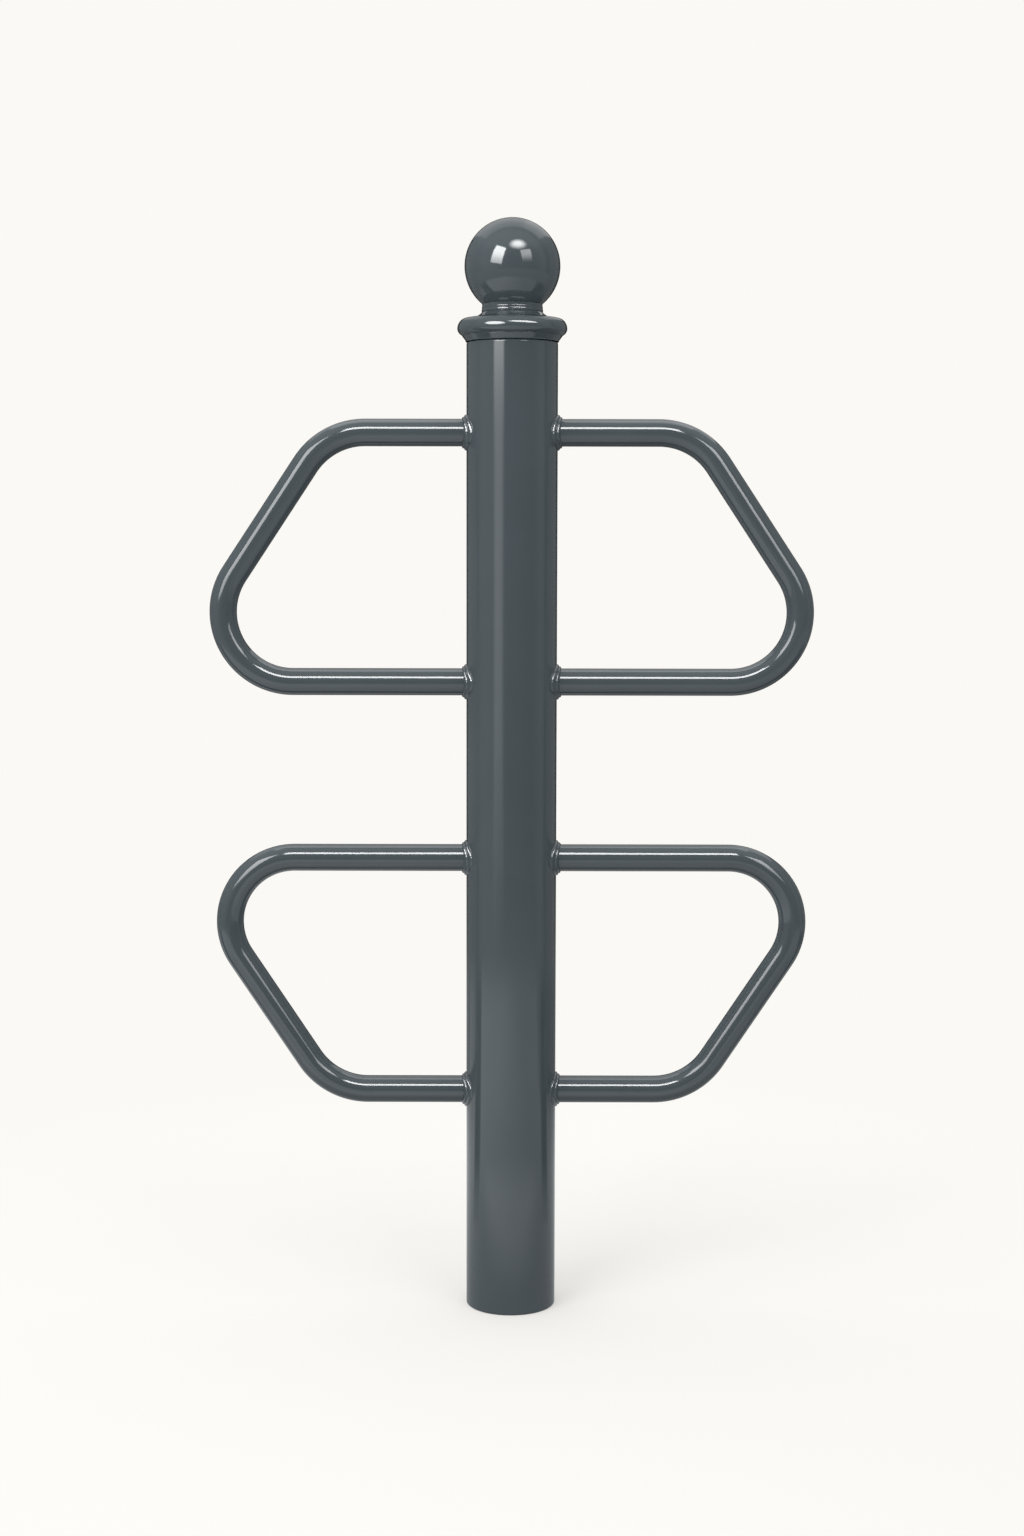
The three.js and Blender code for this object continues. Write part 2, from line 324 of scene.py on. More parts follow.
def finished(piece, lit_as, material, slot, *nodes):
    """Coats a finished piece, lights it, and fixes it to the frame in place of its nodes."""
    light_set(lit_as).objects.link(piece)
    piece.data.materials.clear()
    piece.data.materials.append(material)
    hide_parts(*nodes)
    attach(piece, "root")


# Shader helpers


def add_node(tree, kind, inputs=None, **settings):
    """Adds a node, sets it up, and links or sets its inputs."""
    node = tree.nodes.new(kind)
    for name, value in settings.items():
        setattr(node, name, value)
    for name, value in (inputs or {}).items():
        if isinstance(value, bpy.types.NodeSocket):
            tree.links.new(value, node.inputs[name])
        else:
            node.inputs[name].default_value = value
    return node


def calculate(tree, operation, *values):
    """The result of a Math node."""
    node = add_node(tree, "ShaderNodeMath", dict(enumerate(values)), operation=operation)
    return node.outputs[0]


def remap(tree, value, source, target, kind="LINEAR"):
    """A value moved from one range to another."""
    inputs = dict(zip(("Value", "From Min", "From Max", "To Min", "To Max"), (value, *source, *target)))
    return add_node(tree, "ShaderNodeMapRange", inputs, interpolation_type=kind).outputs["Result"]


def soft_remap(tree, value, source, target):
    """A value moved from one range to another, slowly at both ends."""
    return remap(tree, value, source, target, "SMOOTHSTEP")


def product(tree, result, *others):
    """Several values multiplied together."""
    for other in others:
        result = calculate(tree, "MULTIPLY", result, other)
    return result


def away_from(tree, value, middle):
    """How far a value lies from a middle one."""
    return calculate(tree, "ABSOLUTE", calculate(tree, "SUBTRACT", value, middle))


def chosen(tree, share, first, second):
    """The first value, or by a share the second."""
    return add_node(tree, "ShaderNodeMix", {"Factor": share, "A": first, "B": second}).outputs["Result"]


def parts_of(tree, vector):
    """The three parts of a vector."""
    return add_node(tree, "ShaderNodeSeparateXYZ", {"Vector": vector}).outputs


def length_of(tree, vector):
    """The length of a vector."""
    return add_node(tree, "ShaderNodeVectorMath", {0: vector}, operation="LENGTH").outputs["Value"]


def new_group(name, inputs, outputs):
    """An empty shader node group with its sockets, and its two end nodes."""
    group = bpy.data.node_groups.new(name, "ShaderNodeTree")
    for socket, (kind, value) in inputs.items():
        made = group.interface.new_socket(socket, in_out="INPUT", socket_type=kind)
        if value is not None:
            made.default_value = value
    for socket, kind in outputs.items():
        group.interface.new_socket(socket, in_out="OUTPUT", socket_type=kind)
    return group, group.nodes.new("NodeGroupInput"), group.nodes.new("NodeGroupOutput")


def group_once(name, build):
    """A node group that is built the first time it is asked for."""
    return bpy.data.node_groups.get(name) or build(name)


def place_group(tree, group, inputs):
    """Places a node group in a tree."""
    return add_node(tree, "ShaderNodeGroup", inputs, node_tree=group)


def new_material(name):
    """A material with its node tree, its shader and the piece's own coordinates."""
    material = bpy.data.materials.new(name)
    material.use_nodes = True
    tree = material.node_tree
    shader = tree.nodes["Principled BSDF"]
    place = add_node(tree, "ShaderNodeTexCoord").outputs["Object"]
    return material, tree, shader, place


# Finishes

# The finishes' patches and the zinc's grain, by how many there are to a metre
COAT_FILM_SCALE = 14.0
COAT_HAZE_SCALE = 90.0
ZINC_SPANGLE_SCALE = 350.0
ZINC_GRAIN_SCALE = 2500.0

# How much the patches change the colours and the coat's roughness, as a share
COAT_FILM_CHANGE = 0.03
COAT_HAZE_CHANGE = 0.1
ZINC_SPANGLE_CHANGE = 0.12

ZINC_ROUGHNESS = (0.3, 0.42)
ZINC_GRAIN_DEPTH = 0.00001
COAT_IOR = 1.5

# How much the orange peel's round dimples count beside its fine waves
DIMPLE_SHARE = 0.6


def build_orange_peel(name):
    """Shallow dimples of a sprayed coat, as a height from 0 to 1."""
    group, given, result = new_group(
        name,
        {"Vector": ("NodeSocketVector", None), "Scale": ("NodeSocketFloat", 600.0)},
        {"Height": "NodeSocketFloat"},
    )
    fine = add_node(
        group,
        "ShaderNodeTexNoise",
        {"Vector": given.outputs["Vector"], "Scale": given.outputs["Scale"], "Detail": 1.0},
    )
    dimples = add_node(
        group,
        "ShaderNodeTexVoronoi",
        {"Vector": given.outputs["Vector"], "Scale": given.outputs["Scale"], "Smoothness": 1.0},
        feature="SMOOTH_F1",
    )
    height = calculate(
        group, "MULTIPLY_ADD", dimples.outputs["Distance"], DIMPLE_SHARE, fine.outputs["Fac"]
    )
    group.links.new(height, result.inputs["Height"])
    return group


def build_mottle(name):
    """Slow, uneven patches, as a mask from 0 to 1."""
    group, given, result = new_group(
        name,
        {"Vector": ("NodeSocketVector", None), "Scale": ("NodeSocketFloat", 20.0)},
        {"Mask": "NodeSocketFloat"},
    )
    patches = add_node(
        group,
        "ShaderNodeTexNoise",
        {
            "Vector": given.outputs["Vector"],
            "Scale": given.outputs["Scale"],
            "Detail": 4.0,
            "Distortion": 0.4,
        },
    )
    mask = soft_remap(group, patches.outputs["Fac"], (0.3, 0.7), (0.0, 1.0))
    group.links.new(mask, result.inputs["Mask"])
    return group


def tinted(tree, colour, mask, amount):
    """A colour that a mask makes a little darker and lighter."""
    dark = (*(channel * (1 - amount) for channel in colour), 1.0)
    light = (*(channel * (1 + amount) for channel in colour), 1.0)

    # A Mix node's colours are its inputs 6 and 7 and its output 2
    return add_node(tree, "ShaderNodeMix", {0: mask, 6: dark, 7: light}, data_type="RGBA").outputs[2]


def patch_mask(tree, place, scale):
    """A mask of slow patches on a finish."""
    mottle = group_once("mottle", build_mottle)
    return place_group(tree, mottle, {"Vector": place, "Scale": scale}).outputs["Mask"]


def dimple(tree, shader, place, scale, depth):
    """Covers a finish with fine dimples."""
    peel = group_once("orange_peel", build_orange_peel)
    height = place_group(tree, peel, {"Vector": place, "Scale": scale}).outputs["Height"]
    bump = add_node(tree, "ShaderNodeBump", {"Height": height, "Distance": depth, "Strength": 1.0})
    tree.links.new(bump.outputs["Normal"], shader.inputs["Normal"])


def powder_coat():
    """Gloss slate powder coat, made once."""
    made = bpy.data.materials.get("slate_powder_coat")
    if made:
        return made
    finish = bpy.context.scene.rack_finish
    material, tree, shader, place = new_material("slate_powder_coat")
    film = patch_mask(tree, place, COAT_FILM_SCALE)
    haze = patch_mask(tree, place, COAT_HAZE_SCALE)
    dull = (finish.roughness * (1 - COAT_HAZE_CHANGE), finish.roughness * (1 + COAT_HAZE_CHANGE))
    tree.links.new(tinted(tree, finish.coat, film, COAT_FILM_CHANGE), shader.inputs["Base Color"])
    tree.links.new(remap(tree, haze, (0.0, 1.0), dull), shader.inputs["Roughness"])
    dimple(tree, shader, place, 1 / finish.peel_width, finish.peel_depth)
    shader.inputs["IOR"].default_value = COAT_IOR
    return material


def zinc_plate():
    """Bright zinc plating on the hidden hardware, made once."""
    made = bpy.data.materials.get("bright_zinc_plate")
    if made:
        return made
    finish = bpy.context.scene.rack_finish
    material, tree, shader, place = new_material("bright_zinc_plate")
    spangle = patch_mask(tree, place, ZINC_SPANGLE_SCALE)
    tree.links.new(tinted(tree, finish.zinc, spangle, ZINC_SPANGLE_CHANGE), shader.inputs["Base Color"])
    tree.links.new(remap(tree, spangle, (0.0, 1.0), ZINC_ROUGHNESS), shader.inputs["Roughness"])
    dimple(tree, shader, place, ZINC_GRAIN_SCALE, ZINC_GRAIN_DEPTH)
    shader.inputs["Metallic"].default_value = 1.0
    return material


# Stage

# Height of the middle of the pieces that a set of softboxes lights, where the softboxes are aimed
LIGHT_SETS = {"ball": 1.03, "collar": 1.0, "post": 0.77, "loops": 0.6, "welds": 0.6, "floor": 0.0}

# Each softbox lights one set. Its place is seen from there, in degrees: azimuth to the right of the
# camera's side, elevation above the horizon. It has a distance, width and height in metres, a lean in
# degrees, a top as wide as a share of its foot, a soft edge as a share of its half width, and its glow
# at foot and top
SOFTBOX_COLUMNS = (
    "lights", "shape", "azimuth", "elevation", "distance", "width", "height", "lean", "top", "edge", "glow"
)
SOFTBOXES = {
    name: dict(zip(SOFTBOX_COLUMNS, values))
    for name, values in {
        "ball_left": ("ball", "RECTANGLE", -36, 20.8, 2.5, 1.4, 1.84, -11, 0.84, 0.12, (8, 20)),
        "ball_top": ("ball", "ELLIPSE", 16.5, 46.5, 2.5, 2.0, 1.35, 0, 1, 0.8, (12, 20)),
        "ball_right": ("ball", "RECTANGLE", 35, 19, 2.5, 1.15, 1.3, 4, 1, 0.12, (0.3, 6.5)),
        "collar_left": ("collar", "ELLIPSE", -38, 19.5, 2.5, 2.2, 1.35, -6, 1, 0.3, (18, 20)),
        "collar_right": ("collar", "ELLIPSE", 25, 33, 2.5, 3.1, 0.8, -12, 1, 0.3, (18, 20)),
        "post_left": ("post", "RECTANGLE", -33.5, -2, 2.5, 1.5, 1.65, 0, 1, 0.7, (0.68, 1.4)),
        "post_top": ("post", "RECTANGLE", -33.5, 21, 2.5, 1.5, 1.8, 0, 1, 0.6, (0, 22)),
        "post_right": ("post", "RECTANGLE", 31, 25, 2.5, 0.8, 1.0, 0, 1, 0.4, (7, 7)),
        "loops_front": ("loops", "RECTANGLE", 0, 41, 3.4, 1.9, 0.85, 0, 1, 0.08, (20, 20)),
        "loops_top": ("loops", "RECTANGLE", 180, 78, 2.7, 3.0, 1.6, 0, 1, 0.15, (1.45, 1.45)),
        "loops_left": ("loops", "RECTANGLE", -40, 22, 2.5, 1.0, 1.5, 0, 1, 0.15, (6, 9)),
        "loops_right": ("loops", "RECTANGLE", 36, 22, 2.5, 0.8, 1.3, 0, 1, 0.15, (4, 8)),
        "welds_left": ("welds", "RECTANGLE", -80, 19, 2.5, 2.6, 1.15, 0, 1, 0.1, (16, 24)),
        "welds_right": ("welds", "RECTANGLE", 80, 19, 2.5, 1.8, 1.05, 0, 1, 0.1, (10, 17)),
        "floor_left": ("floor", "RECTANGLE", -36, 38, 2.5, 1.3, 1.3, 0, 1, 0.15, (10.5, 10.5)),
        "floor_right": ("floor", "RECTANGLE", 34, 38, 2.5, 1.3, 1.3, 0, 1, 0.15, (4.2, 4.2)),
    }.items()
}

# Share of a softbox's height over which its glow changes from that at the foot to that at the top
GLOW_RISE = 0.7


def light_set(name):
    """The collection of what one set of softboxes lights, made once."""
    return bpy.data.collections.get(name) or bpy.data.collections.new(name)


def build_softbox_face(name):
    """The cloth of a softbox: its glow from foot to top, with soft edges and a top of its own width."""
    group, given, result = new_group(
        name,
        {
            "Foot glow": ("NodeSocketFloat", 1.0),
            "Top glow": ("NodeSocketFloat", 1.0),
            "Top width": ("NodeSocketFloat", 1.0),
            "Edge": ("NodeSocketFloat", 0.1),
            "Round": ("NodeSocketFloat", 0.0),
        },
        {"Glow": "NodeSocketFloat"},
    )
    place = add_node(group, "ShaderNodeNewGeometry").outputs["Parametric"]
    across, rise, _ = parts_of(group, place)
    width = remap(group, rise, (0.0, 1.0), (1.0, given.outputs["Top width"]))
    side = calculate(group, "DIVIDE", calculate(group, "MULTIPLY_ADD", across, 2.0, -1.0), width)
    up = calculate(group, "MULTIPLY_ADD", rise, 2.0, -1.0)
    flat = add_node(group, "ShaderNodeCombineXYZ", {"X": side, "Y": up}).outputs["Vector"]
    square = calculate(
        group, "MAXIMUM", calculate(group, "ABSOLUTE", side), calculate(group, "ABSOLUTE", up)
    )
    reach = chosen(group, given.outputs["Round"], square, length_of(group, flat))
    inner = calculate(group, "SUBTRACT", 1.0, given.outputs["Edge"])
    mask = soft_remap(group, reach, (inner, 1.0), (1.0, 0.0))
    glow = soft_remap(
        group, rise, (0.0, GLOW_RISE), (given.outputs["Foot glow"], given.outputs["Top glow"])
    )
    group.links.new(calculate(group, "MULTIPLY", mask, glow), result.inputs["Glow"])
    return group


def softbox(name, box):
    """Sets up one softbox, aimed at the middle of the pieces that it lights."""
    azimuth, elevation = math.radians(box["azimuth"]), math.radians(box["elevation"])
    towards = Vector(
        (
            math.sin(azimuth) * math.cos(elevation),
            -math.cos(azimuth) * math.cos(elevation),
            math.sin(elevation),
        )
    )
    aim = (-towards).to_track_quat("-Z", "Y").to_euler()
    aim.rotate_axis("Z", math.radians(box["lean"]))
    middle = Vector((0, 0, LIGHT_SETS[box["lights"]]))
    bpy.ops.object.light_add(type="AREA", location=middle + towards * box["distance"], rotation=aim)
    lamp = bpy.context.object
    lamp.name = name
    lamp.data.shape = box["shape"]
    lamp.data.size, lamp.data.size_y = box["width"], box["height"]

    # With this energy the glow is the brightness of the cloth itself, whatever its size
    area = box["width"] * box["height"] * (math.pi / 4 if box["shape"] == "ELLIPSE" else 1)
    lamp.data.energy = math.pi * area

    # The softboxes make the highlights on the pieces and the shadows on the floor, the sky does the rest
    on_floor = box["lights"] == "floor"
    lamp.visible_diffuse, lamp.visible_glossy = on_floor, not on_floor
    lamp.light_linking.receiver_collection = light_set(box["lights"])

    lamp.data.use_nodes = True
    tree = lamp.data.node_tree
    foot_glow, top_glow = box["glow"]
    glow = place_group(
        tree,
        group_once("softbox_face", build_softbox_face),
        {
            "Foot glow": foot_glow,
            "Top glow": top_glow,
            "Top width": box["top"],
            "Edge": box["edge"],
            "Round": float(box["shape"] == "ELLIPSE"),
        },
    ).outputs["Glow"]
    tree.links.new(glow, tree.nodes["Emission"].inputs["Strength"])


# In the world and on the floor, each remap gives where a change starts and ends, then the values there.
# Places in the room are parts of a direction of length one, and places on the floor are metres

# The darkest side of the room, to the right of the camera's, and where the dark gap in its sides is
DARK_FRONT = math.radians(18)
GAP_BACK = 0.08

# Where the painted shadow band on the floor is, and the slant of the floor's corner of painted shade
SHADOW_BAND_BACK = 0.05
CORNER_SLANT = 1.8

# The floor's brightness in the light on the coat, and its colour in reflections
FLOOR_BOUNCE = 0.25
MIRRORED_FLOOR = (0.91, 0.94, 0.96, 1.0)

# How much more light of its own the floor has a metre behind the post, and less on its left
BACK_GLOW = 0.11
LEFT_LOSS = 0.02

# Shares of the shadow's reach and of the floor's radius from which they fade
SHADOW_FADE = 0.45
RIM_FADE = 0.7


def mirrored_room(tree, direction):
    """How bright the room is in the pieces' reflections."""
    right, back, up = parts_of(tree, direction)

    # The sides are pale, darker towards the front and the back, with a dark gap that is deeper on the right
    front = (math.sin(DARK_FRONT), -math.cos(DARK_FRONT), 0)
    ahead = add_node(
        tree, "ShaderNodeVectorMath", {0: direction, 1: front}, operation="DOT_PRODUCT"
    ).outputs["Value"]
    gap_shade = remap(tree, right, (-1.0, 1.0), (0.75, 0.3))
    sides = product(
        tree,
        soft_remap(tree, ahead, (0.4, 0.9), (0.5, 0.12)),
        soft_remap(tree, back, (0.75, 0.97), (1.0, 0.0)),
        soft_remap(tree, back, (-0.3, 0.15), (1.0, 0.6)),
        soft_remap(tree, away_from(tree, back, GAP_BACK), (0.02, 0.12), (gap_shade, 1.0)),
    )

    # The ceiling is pale overhead. A panel in it over the back is brighter, the more so on its right
    overhead = soft_remap(tree, up, (0.45, 0.75), (0.0, 0.35))
    rise = calculate(tree, "MAXIMUM", up, 0.001)
    panel_across = calculate(tree, "DIVIDE", right, rise)
    panel_back = calculate(tree, "DIVIDE", back, rise)
    panel = product(
        tree,
        soft_remap(tree, calculate(tree, "ABSOLUTE", panel_across), (0.92, 1.04), (1.0, 0.0)),
        soft_remap(tree, panel_back, (0.12, 0.28), (0.0, 1.0)),
        soft_remap(tree, panel_back, (2.2, 3.2), (1.0, 0.0)),
        soft_remap(tree, panel_across, (0.15, 0.35), (0.6, 0.95)),
    )
    ceiling = calculate(tree, "ADD", overhead, panel)

    # The ground past the floor's rim is pale, and dimmer towards the back
    ground = product(
        tree,
        soft_remap(tree, up, (-0.22, -0.11), (0.55, 0.0)),
        remap(tree, back, (0.0, 0.5), (1.0, 0.5)),
    )
    return calculate(tree, "ADD", calculate(tree, "MAXIMUM", sides, ground), ceiling)


def light_world(world, stage):
    """Lights the room round the pieces. The camera itself sees the plain backdrop."""
    world.use_nodes = True
    tree = world.node_tree
    tree.nodes.clear()
    direction = add_node(tree, "ShaderNodeTexCoord").outputs["Generated"]
    right, _, up = parts_of(tree, direction)
    ray = add_node(tree, "ShaderNodeLightPath").outputs

    # The coat's own colour is lit from all round, a little more from above and from the left
    fill = product(
        tree,
        remap(tree, up, (-1.0, 1.0), (0.6, 1.5)),
        remap(tree, right, (-1.0, 1.0), (1.3, 0.7)),
        stage.fill,
    )
    strength = chosen(tree, ray["Is Diffuse Ray"], mirrored_room(tree, direction), fill)
    studio = add_node(tree, "ShaderNodeBackground", {"Strength": strength})
    plain = add_node(tree, "ShaderNodeBackground", {"Color": (*stage.backdrop, 1.0)})
    mix = add_node(
        tree,
        "ShaderNodeMixShader",
        {0: ray["Is Camera Ray"], 1: studio.outputs["Background"], 2: plain.outputs["Background"]},
    )
    add_node(tree, "ShaderNodeOutputWorld", {"Surface": mix.outputs["Shader"]})


def mirrored_floor(tree, place, ray_length):
    """How bright the floor is in reflections, with painted shadow and painted light. The length of the ray
    tells low pieces from high ones.
    """
    right, back, _ = parts_of(tree, place)

    # Painted light and shade: it is brighter on the left, and brighter for high pieces, so that low pieces
    # see a painted contact shadow, and its front is painted bright for the post's foot too
    foot_glow = product(
        tree,
        remap(tree, ray_length, (0.45, 0.62), (0.5, 0.0)),
        remap(tree, back, (-0.3, -0.1), (1.0, 0.0)),
    )
    glow = calculate(tree, "ADD", remap(tree, ray_length, (0.0, 0.9), (0.45, 0.95)), foot_glow)
    painted_left_light = remap(tree, right, (-0.6, 0.6), (1.45, 0.85))

    # Painted shade: for high pieces it is dimmer behind the rack, and dimmer still to the right of there
    back_shade = remap(tree, ray_length, (0.5, 1.0), (1.0, 0.45))
    corner = calculate(tree, "MULTIPLY_ADD", back, CORNER_SLANT, right)
    corner_shade = remap(tree, ray_length, (0.8, 1.0), (1.0, 0.5))

    # A painted shadow of the rack runs along under the rails as a dark band. Pieces near the floor don't
    # mirror it, and it is deeper and wider the higher the piece
    painted_shadow_depth = calculate(
        tree,
        "MAXIMUM",
        remap(tree, ray_length, (0.38, 0.6), (0.7, 0.05)),
        remap(tree, ray_length, (0.3, 0.4), (1.0, 0.0)),
    )
    band = calculate(
        tree, "DIVIDE", away_from(tree, back, SHADOW_BAND_BACK), calculate(tree, "MAXIMUM", ray_length, 0.1)
    )
    return product(
        tree,
        glow,
        painted_left_light,
        soft_remap(tree, back, (0.0, 0.4), (1.0, back_shade)),
        soft_remap(tree, band, (0.13, 0.23), (painted_shadow_depth, 1.0)),
        soft_remap(tree, corner, (0.45, 0.62), (1.0, corner_shade)),
    )


def floor_material(stage):
    """Pale floor that fades into the backdrop. Part of its light is its own, so that shadows stay faint."""
    material, tree, shader, place = new_material("pale_floor")
    tree.nodes.remove(shader)
    ray = add_node(tree, "ShaderNodeLightPath").outputs
    colour = (*stage.backdrop, 1.0)
    right, back, _ = parts_of(tree, place)

    # The camera sees the lit floor, with a little more light of its own at the back and less on the left
    own = calculate(
        tree,
        "ADD",
        remap(tree, back, (-1.0, 1.0), (stage.floor_glow - BACK_GLOW, stage.floor_glow + BACK_GLOW)),
        remap(tree, right, (-0.4, 0.1), (-LEFT_LOSS, 0.0)),
    )
    glow = add_node(tree, "ShaderNodeEmission", {"Color": colour, "Strength": own})
    paint = add_node(
        tree, "ShaderNodeBsdfDiffuse", {"Color": (*(stage.floor_paint * c for c in stage.backdrop), 1.0)}
    )
    lit = add_node(tree, "ShaderNodeAddShader", {0: glow.outputs[0], 1: paint.outputs[0]})
    plain = add_node(tree, "ShaderNodeEmission", {"Color": colour})
    distance = length_of(tree, place)
    fading = (SHADOW_FADE * stage.shadow_reach, stage.shadow_reach)
    shaded = soft_remap(tree, distance, fading, (1.0, 0.0))
    seen = add_node(tree, "ShaderNodeMixShader", {0: shaded, 1: plain.outputs[0], 2: lit.outputs[0]})

    # The pieces mirror a glowing floor with painted shadow and painted light of its own, which the rack
    # doesn't really shade, and their colour takes a little light from it
    share = chosen(
        tree, ray["Is Diffuse Ray"], mirrored_floor(tree, place, ray["Ray Length"]), FLOOR_BOUNCE
    )
    mirrored = add_node(tree, "ShaderNodeEmission", {"Color": MIRRORED_FLOOR, "Strength": share})
    floor = add_node(
        tree, "ShaderNodeMixShader", {0: ray["Is Camera Ray"], 1: mirrored.outputs[0], 2: seen.outputs[0]}
    )

    # In reflections its rim melts into the room's ground
    rim = (RIM_FADE * stage.floor_radius, stage.floor_radius)
    there = soft_remap(tree, distance, rim, (1.0, 0.0))
    there = calculate(tree, "MAXIMUM", there, ray["Is Camera Ray"])
    clear = add_node(tree, "ShaderNodeBsdfTransparent")
    mix = add_node(tree, "ShaderNodeMixShader", {0: there, 1: clear.outputs[0], 2: floor.outputs[0]})
    tree.links.new(mix.outputs[0], tree.nodes["Material Output"].inputs["Surface"])
    return material


class RACK_OT_stage(Operator):
    """Sets up the pale floor, the studio light and the camera"""

    bl_idname = "rack.stage"
    bl_label = "Stage"

    def execute(self, context):
        stage = context.scene.rack_stage
        bpy.ops.object.select_all(action="DESELECT")
        bpy.ops.mesh.primitive_circle_add(vertices=96, radius=stage.floor_radius, fill_type="NGON")
        floor = just_added("pale_floor")
        floor.data.materials.append(floor_material(stage))
        light_set("floor").objects.link(floor)

        context.scene.world = context.scene.world or bpy.data.worlds.new("studio")
        light_world(context.scene.world, stage)
        for name, box in SOFTBOXES.items():
            softbox(name, box)

        aim = Euler((math.pi / 2 - stage.pitch, 0, -stage.yaw))
        aim.rotate_axis("Z", stage.roll)
        bpy.ops.object.camera_add(location=(0, -stage.distance, stage.eye_height), rotation=aim)
        camera = context.object
        camera.name = "photo_camera"
        camera.data.sensor_width = 36
        camera.data.lens = stage.lens
        context.scene.camera = camera
        context.scene.view_settings.view_transform = "Standard"
        return {"FINISHED"}


# Pieces


def rail_heights(tier):
    """Heights of a tier's short and long rail."""
    low, high = LOOP_BOXES[tier]

    # A loop is as deep as its pipe is thick
    radius = high.y
    top, bottom = high.z - radius, low.z + radius
    return {"short": top, "long": bottom} if tier == "upper" else {"short": bottom, "long": top}


class RACK_OT_post(Operator):
    """Makes the upright pipe with a vent hole behind each rail"""

    bl_idname = "rack.post"
    bl_label = "Post"

    def execute(self, context):
        post = context.scene.rack_post
        low, high = POST_BOX
        heights = sorted(height for tier in LOOP_BOXES for height in rail_heights(tier).values())

        # The pipe is drawn up in lengths, with a ring on each side of every vent
        rings = [height + side * post.vent for height in heights for side in (-1, 1)]
        bpy.ops.object.select_all(action="DESELECT")
        bpy.ops.mesh.primitive_circle_add(
            vertices=post.facets, radius=high.x, fill_type="NOTHING", location=(0, 0, low.z)
        )
        pipe = just_added("steel_post")
        with edit_mode(pipe):
            bpy.ops.mesh.select_all(action="SELECT")
            for here, there in pairwise([low.z, *rings, high.z]):
                bpy.ops.mesh.extrude_region_move(TRANSFORM_OT_translate={"value": (0, 0, there - here)})
            close_seams()
        apply_modifier(pipe, "SOLIDIFY", thickness=post.wall, offset=-1, use_even_offset=True)
        ease_edges(pipe, post.edge)

        # One drill goes through both sides of the wall
        for height in heights:
            bpy.ops.object.select_all(action="DESELECT")
            bpy.ops.mesh.primitive_cylinder_add(
                vertices=32,
                radius=post.vent / 2,
                depth=3 * high.x,
                location=(0, 0, height),
                rotation=(0, math.pi / 2, 0),
            )
            cut(pipe, just_added("vent_drill"))
        smooth(pipe)
        finished(pipe, "post", powder_coat(), "powder_coat", "post")
        return {"FINISHED"}


# Fine rings on the collar: the curve of each ring's side, and the two tilts in degrees that it runs between
CREASE_RING = (0.0003, (-60, 50))
FOOT_RING = (0.00025, (-40, 60))
LOWER_RING = (0.004, (-4, 25))
UPPER_RING = (0.002, (-4, 25))

# How far the neck's two lowest rings stand out, and how far above their middles the groove is
RING_STEP = 0.0002
LOWER_RING_LENGTH = 0.0018
UPPER_RING_LENGTH = 0.001

# How much narrower the neck is than the ball's seat
SEAT_STEP = 0.0001

# Turn of each segment of a fine ring, and how sharp an edge of the collar is for the coat to round it
RING_TURN = math.radians(5)
EASED_ANGLE = math.radians(62)


def fine_ring(radius, height, ring):
    """Points up the side of a fine ring on a turned piece."""
    curve, tilts = ring
    low, high = (math.radians(tilt) for tilt in tilts)
    return arc((radius - curve, height), (curve, curve), low, high, RING_TURN)


class RACK_OT_collar(Operator):
    """Turns the cap's collar: spigot, lip, foot, bead, flare and neck"""

    bl_idname = "rack.collar"
    bl_label = "Cap collar"

    def execute(self, context):
        cap = context.scene.rack_cap
        post = context.scene.rack_post
        low, high = COLLAR_BOX
        foot = high.z - cap.collar_height
        bead_out = high.x - cap.bead_width
        bead_up = foot + cap.bead_height
        bead_top = bead_up + cap.bead_rise
        crease = math.acos((cap.crease_radius - bead_out) / cap.bead_width)
        crease_height = bead_up - cap.bead_fall * math.sin(crease)
        crease_curve = CREASE_RING[0]
        flare_top = high.z - cap.neck_height
        lower_ring = flare_top + cap.lower_ring
        upper_ring = flare_top + cap.upper_ring
        groove = cap.neck_foot - cap.neck_groove
        spigot = POST_BOX[1].x - post.wall - cap.spigot_clearance
        core = spigot - cap.spigot_wall
        floor = high.z - cap.collar_floor
        flare = (
            (bead_out - groove) / math.cos(cap.flare_turn),
            (flare_top - bead_top) / (1 - math.sin(cap.flare_turn)),
        )

        outline = [
            (spigot, foot),
            (cap.lip_radius, foot),
            (cap.lip_radius, foot + cap.lip_height),
            *fine_ring(cap.crease_radius + crease_curve, crease_height - crease_curve, CREASE_RING),
            *arc((bead_out, bead_up), (cap.bead_width, cap.bead_fall), -crease, 0, cap.arc_step),
            *arc((bead_out, bead_up), (cap.bead_width, cap.bead_rise), 0, math.pi / 2, cap.arc_step)[1:],
            *arc(
                (bead_out, bead_top + flare[1]), flare, -math.pi / 2, cap.flare_turn - math.pi, cap.arc_step
            )[1:],
            *fine_ring(cap.neck_foot + RING_STEP, flare_top + RING_STEP, FOOT_RING),
            *fine_ring(cap.neck_foot + RING_STEP, lower_ring, LOWER_RING),
            (groove, lower_ring + LOWER_RING_LENGTH),
            *fine_ring(cap.neck_foot, upper_ring, UPPER_RING),
            (groove, upper_ring + UPPER_RING_LENGTH),
            (cap.neck_top - SEAT_STEP, high.z),
            (cap.stud_hole, high.z),
            (cap.stud_hole, floor),
            (cap.neck_top - cap.collar_wall, floor),
            (cap.neck_top - cap.collar_wall, bead_top),
            (core, crease_height),
            (core, low.z),
            (spigot, low.z),
            (spigot, foot),
        ]
        collar = turned("turned_collar", outline, cap.facets)
        ease_edges(collar, cap.edge, EASED_ANGLE)
        smooth(collar)
        finished(collar, "collar", powder_coat(), "powder_coat", "cap_collar")
        return {"FINISHED"}


